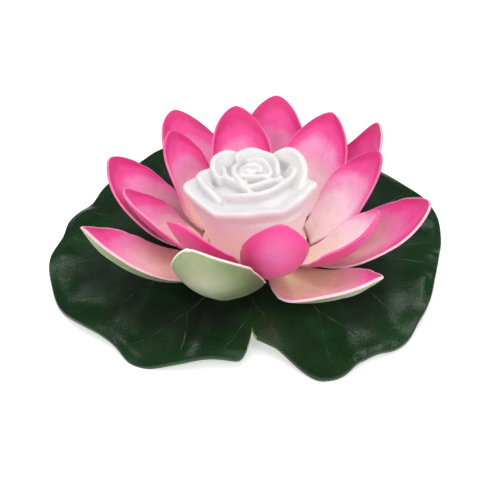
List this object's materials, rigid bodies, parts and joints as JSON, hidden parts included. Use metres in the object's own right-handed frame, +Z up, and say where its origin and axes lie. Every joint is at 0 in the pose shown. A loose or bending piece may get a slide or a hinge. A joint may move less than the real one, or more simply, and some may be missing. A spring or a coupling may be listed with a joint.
{
  "type": "floating pool light",
  "caption": "Floating lotus pool light: foam petals on a lily pad and float, with a lift-out battery lamp shaped like a rose.",
  "frame": {"origin": "middle of the lily pad's footprint, level with the underside of the float", "axes": "+Z up, -Y towards the notch in the pad's front edge, +X to the right seen from the front"},
  "size_m": [0.1787, 0.1815, 0.0569],
  "materials": {
    "pad_foam": "satin dark green foam sheet with embossed veins",
    "petal_outer": "matt foam sheet, pink shading to cream inside and sage green outside",
    "petal_inner": "matt foam sheet, pink shading to cream",
    "float_foam": "closed-cell white packing foam",
    "hub_foam": "matt pale foam sheet",
    "rose_vinyl": "translucent white soft vinyl",
    "white_plastic": "moulded satin",
    "grey_rubber": "silicone rubber",
    "black_rubber": "nitrile rubber",
    "steel": "bright",
    "contact_metal": "bright",
    "board": "green solder mask",
    "led_lens": "clear epoxy",
    "dark_plastic": "moulded"
  },
  "bodies": {
    "flower": {"float_disc": "float_foam", "lily_pad": "pad_foam", "outer_petal_1": "petal_outer", "outer_petal_2": "petal_outer", "outer_petal_3": "petal_outer", "outer_petal_4": "petal_outer", "outer_petal_5": "petal_outer", "outer_petal_6": "petal_outer", "outer_petal_7": "petal_outer", "outer_petal_8": "petal_outer", "inner_petal_1": "petal_inner", "inner_petal_2": "petal_inner", "inner_petal_3": "petal_inner", "inner_petal_4": "petal_inner", "inner_petal_5": "petal_inner", "inner_petal_6": "petal_inner", "inner_petal_7": "petal_inner", "inner_petal_8": "petal_inner", "outer_hub_ring": "hub_foam", "inner_hub_ring": "hub_foam", "lamp_socket": "white_plastic", "socket_lock_ring": "white_plastic"},
    "lamp": {"lamp_housing": "white_plastic", "rose_shell": "rose_vinyl", "base_plate": "white_plastic", "base_gasket": "grey_rubber", "base_screws": "steel", "led_board": "board", "led": "led_lens", "tact_switch": "dark_plastic", "coin_cell": "steel", "positive_contact": "contact_metal", "button_seal": "grey_rubber"},
    "battery_cap": {"battery_cap": "white_plastic", "cap_o_ring": "black_rubber", "negative_contact": "steel"},
    "button": {"button": "grey_rubber", "switch_stem": "dark_plastic"}
  },
  "joints": [
    {"name": "lamp_lift", "type": "slide", "parent": "flower", "child": "lamp", "axis": [0, 0, 1], "range_m": [0, 0.07]},
    {"name": "cap_turn", "type": "hinge", "parent": "lamp", "child": "battery_cap", "pos_m": [-0.003, -0.016, 0.004], "axis": [0, 0, 1], "range_deg": [0, 45]},
    {"name": "button_press", "type": "slide", "parent": "lamp", "child": "button", "axis": [0, 0, 1], "range_m": [0, 0.0005], "stiffness_N_per_m": 300}
  ]
}
